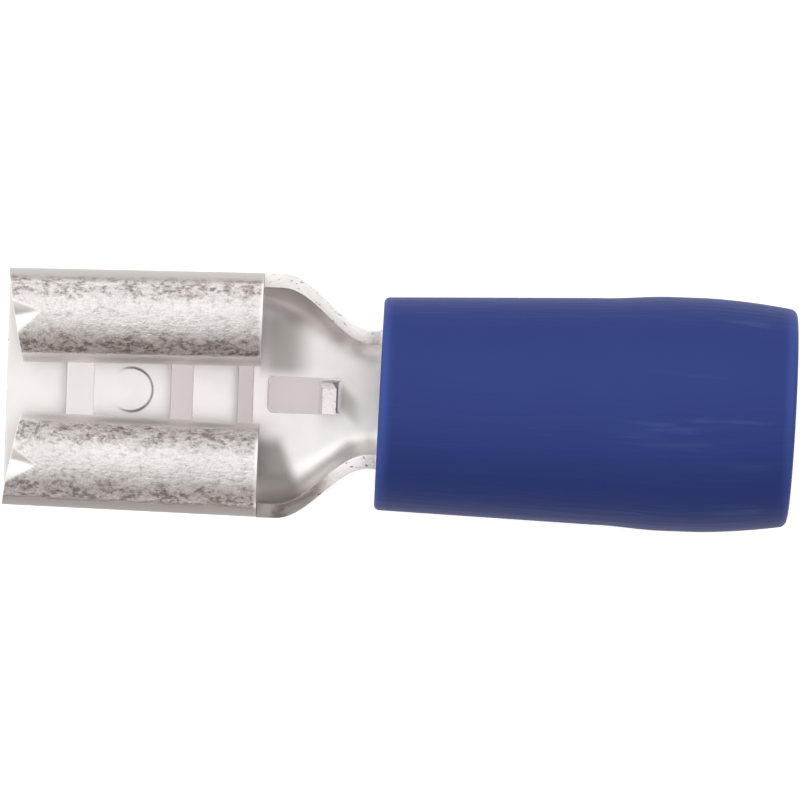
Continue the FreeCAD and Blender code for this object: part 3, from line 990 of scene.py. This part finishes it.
tin = {
    "bright": (0.97, 0.95, 0.938),
    "dull": (0.925, 0.905, 0.892),
    "pit": (0.29, 0.252, 0.232),
    # Colour of the painted shade on the rolls' outer flanks
    "flank": (0.36, 0.33, 0.315),
    # Colour of the painted shade in the neck and on the near wall's cut
    "paintedShade": (0.28, 0.25, 0.235),
    "roughness": 0.40,
    "rollRoughness": 0.48,
    "grain": 9.5,
    "cloud": 3.4,
    "streak": 0.72,
    "fineGrain": 2.4,
    # Where wear sits round a roll, in radians from its crown
    "bandWander": 0.22,
    "outerLimit": (0.94, 0.86),
    "innerLimit": (-1.12, -0.86),
    "lowerBand": (0.10, 0.66),
    "upperBand": (-0.24, -0.62),
    # Which levels of the noise show as patches, marks, pits and chips
    "grainShare": 0.72,
    "patches": (0.42, 0.58),
    "marks": (0.43, 0.65),
    "pits": (0.58, 0.66),
    "chips": (0.60, 0.66),
    "haze": (0.38, 0.62),
    "hazeScale": 900.0,
    # How dark each of them makes the tin
    "bandMarks": 0.05,
    "bandPits": 0.03,
    "markWear": (0.25, 0.32),
    "patchWear": (0.5, 0.8),
    "pitWear": 0.10,
    # The lower band is darker than the upper one as wear together with painted shade
    "lowerWearAndShade": 0.36,
    "upperWear": 0.18,
    "fineWear": 0.7,
    "chipMarks": 0.10,
    "roughWander": 0.25,
    # Relief of the grain and of the fine grain on plain, rolled and sheared faces
    "relief": 0.045,
    "grainRelief": (-0.008, -1.0),
    "fineRelief": (0.006, 0.35, 0.25),
}

vinyl = {
    "color": (0.034, 0.061, 0.262),
    "shade": (0.030, 0.054, 0.240),
    # Lighter blue painted at both ends as a highlight, for the light the thin rounded ends catch and let
    # through
    "paintedEndHighlight": (0.060, 0.105, 0.400),
    "drawnLine": (0.095, 0.140, 0.370),
    "roughness": 0.50,
    "specular": 0.14,
    "cloud": 500.0,
    "drawn": 0.07,
    "streaks": 5.0,
    "groups": 0.9,
    "groupLevels": (0.53, 0.62),
    "lineLevels": (0.52, 0.66),
    "lineStrength": 0.30,
    "relief": 0.025,
    "reliefStrength": 0.6,
}


def newMaterial(name):
    material = bpy.data.materials.new(name)
    material.use_nodes = True
    nodes = material.node_tree.nodes
    return material, nodes, material.node_tree.links, nodes["Principled BSDF"]


def noiseNode(nodes, links, vector, scale, detail, roughness=0.5):
    node = nodes.new("ShaderNodeTexNoise")
    node.inputs["Scale"].default_value = scale
    node.inputs["Detail"].default_value = detail
    node.inputs["Roughness"].default_value = roughness
    links.new(vector, node.inputs["Vector"])
    return node.outputs["Fac"]


def attribute(nodes, name):
    node = nodes.new("ShaderNodeAttribute")
    node.attribute_name = name
    return node.outputs["Fac"]


def bumped(nodes, links, shader, height, distance, strength=1.0):
    bump = nodes.new("ShaderNodeBump")
    bump.inputs["Strength"].default_value = strength
    bump.inputs["Distance"].default_value = distance * mm
    links.new(height, bump.inputs["Height"])
    links.new(bump.outputs["Normal"], shader.inputs["Normal"])


def stretchedUV(nodes, links, uvName, lengthwise):
    # The piece's own UV map, in millimetres, with patterns drawn out along its length
    place = nodes.new("ShaderNodeUVMap")
    place.uv_map = uvName
    stretch = nodes.new("ShaderNodeMapping")
    stretch.inputs["Scale"].default_value = (lengthwise, 1.0, 1.0)
    links.new(place.outputs["UV"], stretch.inputs["Vector"])
    return stretch.outputs["Vector"]


def tinnedBrass():
    material, nodes, links, shader = newMaterial("tinned_brass_satin")

    def add(a, b):
        return reckon(nodes, links, "ADD", a, b)

    def times(a, b):
        return reckon(nodes, links, "MULTIPLY", a, b)

    def step(value, limits):
        return smoothStep(nodes, links, value, tin[limits])

    where = stretchedUV(nodes, links, "strip", tin["streak"])
    crest, sheared, paintedShade, flank, lean = [
        attribute(nodes, name) for name in ("crest", "sheared", "paintedShade", "flank", "lean")]
    grain = noiseNode(nodes, links, where, tin["grain"], detail=4.0, roughness=0.70)
    cloud = noiseNode(nodes, links, where, tin["cloud"], detail=4.0, roughness=0.62)
    fineScale = tin["grain"] * tin["fineGrain"]
    fine = noiseNode(nodes, links, where, fineScale, detail=3.0, roughness=0.7)
    rough = add(times(crest, tin["rollRoughness"] - tin["roughness"]), tin["roughness"])

    # Wear lies in two bands that run along each roll, and stops short of its flanks. The lower band, on
    # the side of each roll away from the light, is darker also as painted shade.
    place = add(lean, times(add(cloud, -0.5), tin["bandWander"]))
    crest = times(times(crest, step(place, "outerLimit")), step(place, "innerLimit"))
    lower, upper = step(place, "lowerBand"), step(place, "upperBand")
    bands = add(lower, upper)
    mottle = add(times(grain, tin["grainShare"]), times(cloud, 1 - tin["grainShare"]))
    marks = step(add(mottle, times(bands, tin["bandMarks"])), "marks")
    pits = step(add(mottle, times(bands, tin["bandPits"])), "pits")
    markBase, markBand = tin["markWear"]
    patchBase, patchFull = tin["patchWear"]
    patches = add(times(step(cloud, "patches"), patchFull), patchBase)
    worn = times(times(marks, add(times(bands, markBand), markBase)), patches)
    worn = add(worn, times(pits, tin["pitWear"]))
    worn = add(worn, add(times(lower, tin["lowerWearAndShade"]), times(upper, tin["upperWear"])))
    worn = times(add(worn, times(add(fine, -0.5), tin["fineWear"])), crest)

    coords = nodes.new("ShaderNodeTexCoord").outputs["Object"]
    haze = step(noiseNode(nodes, links, coords, tin["hazeScale"], detail=2.0), "haze")
    plain = mixColors(nodes, links, haze, tin["bright"], tin["dull"])
    # Painted shade on the rolls' outer flanks
    plain = mixColors(nodes, links, flank, plain, tin["flank"])
    plain = mixColors(nodes, links, worn, plain, tin["pit"])
    chips = add(step(grain, "chips"), times(marks, tin["chipMarks"]))
    edge = mixColors(nodes, links, chips, tin["bright"], tin["pit"])
    whole = mixColors(nodes, links, sheared, plain, edge)
    # Painted shade darkens the neck's corners, the tongue's shadow and the near wall's cut
    links.new(mixColors(nodes, links, paintedShade, whole, tin["paintedShade"]), shader.inputs["Base Color"])
    shader.inputs["Metallic"].default_value = 1.0
    wander = times(times(add(grain, -0.5), tin["roughWander"]), crest)
    links.new(add(rough, wander), shader.inputs["Roughness"])

    grainPlain, grainRolled = tin["grainRelief"]
    finePlain, fineRolled, fineSheared = tin["fineRelief"]
    height = times(mottle, add(times(crest, grainRolled), grainPlain))
    fineHeight = add(add(times(crest, fineRolled), times(sheared, fineSheared)), finePlain)
    bumped(nodes, links, shader, add(height, times(fine, fineHeight)), tin["relief"])
    return material


def blueVinyl():
    material, nodes, links, shader = newMaterial("blue_vinyl_satin")
    where = stretchedUV(nodes, links, "wrap", vinyl["drawn"])
    coords = nodes.new("ShaderNodeTexCoord").outputs["Object"]
    cloud = noiseNode(nodes, links, coords, vinyl["cloud"], detail=3.0)
    streaks = noiseNode(nodes, links, where, vinyl["streaks"], detail=2.0)
    groups = noiseNode(nodes, links, where, vinyl["groups"], detail=0.0)
    lines = smoothStep(nodes, links, streaks, vinyl["lineLevels"])
    lines = reckon(nodes, links, "MULTIPLY", lines, attribute(nodes, "bulge"))
    lines = reckon(nodes, links, "MULTIPLY", lines, smoothStep(nodes, links, groups, vinyl["groupLevels"]))
    lines = reckon(nodes, links, "MULTIPLY", lines, vinyl["lineStrength"])
    body = mixColors(nodes, links, cloud, vinyl["shade"], vinyl["color"])
    body = mixColors(nodes, links, lines, body, vinyl["drawnLine"])
    # Painted highlight at both ends of the sleeve
    body = mixColors(nodes, links, attribute(nodes, "ends"), body, vinyl["paintedEndHighlight"])
    links.new(body, shader.inputs["Base Color"])
    shader.inputs["Roughness"].default_value = vinyl["roughness"]
    shader.inputs["Specular IOR Level"].default_value = vinyl["specular"]
    bumped(nodes, links, shader, streaks, vinyl["relief"], vinyl["reliefStrength"])
    return material


def dress(piece, material, node):
    piece.data.materials.clear()
    piece.data.materials.append(material)
    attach(piece, "root")
    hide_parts(node)


dress(makeTerminal(), tinnedBrass(), "terminal")
dress(makeSleeve(), blueVinyl(), "insulating_sleeve")
print("pieces made")
